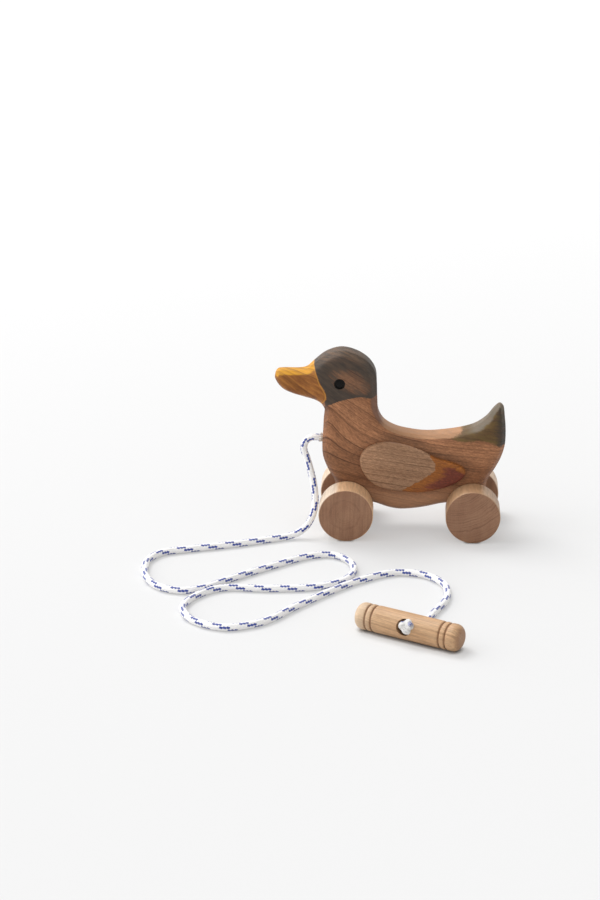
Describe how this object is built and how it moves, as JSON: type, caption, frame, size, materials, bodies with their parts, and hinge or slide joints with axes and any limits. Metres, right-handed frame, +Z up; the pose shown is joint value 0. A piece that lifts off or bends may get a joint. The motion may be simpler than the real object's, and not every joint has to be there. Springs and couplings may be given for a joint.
{
  "type": "pull-along duck",
  "caption": "Wooden pull-along duck with a sawn and painted body, glued wings, wheels fixed on turning axles, and a braided pull cord with a turned toggle handle.",
  "frame": {"origin": "on the floor under the middle of the duck's box, between its left and right wheels", "axes": "+X from the beak towards the tail, +Y to the duck's right, +Z up"},
  "size_m": [0.3115, 0.3111, 0.165],
  "materials": {
    "body_wood": "oiled reddish-brown hardwood, head, beak and tail stained with thin paint",
    "wing_wood": "oiled coarse-grained wood, tip stained ochre and red",
    "wheel_wood": "sanded and oiled dowel slices, end grain on the faces",
    "axle_wood": "bare dowel",
    "handle_wood": "turned and oiled",
    "cord_braid": "white braid with blue marker yarn"
  },
  "bodies": {
    "duck": {"body": "body_wood", "left_wing": "wing_wood", "right_wing": "wing_wood", "pull_cord": "cord_braid", "pull_handle": "handle_wood", "handle_knot": "cord_braid"},
    "front_wheelset": {"front_axle": "axle_wood", "front_left_wheel": "wheel_wood", "front_right_wheel": "wheel_wood"},
    "rear_wheelset": {"rear_axle": "axle_wood", "rear_left_wheel": "wheel_wood", "rear_right_wheel": "wheel_wood"}
  },
  "joints": [
    {"name": "front_axle_spin", "type": "hinge", "parent": "duck", "child": "front_wheelset", "pos_m": [-0.0377, 0, 0.024], "axis": [0, 1, 0], "continuous": true},
    {"name": "rear_axle_spin", "type": "hinge", "parent": "duck", "child": "rear_wheelset", "pos_m": [0.0738, 0, 0.024], "axis": [0, 1, 0], "continuous": true}
  ]
}
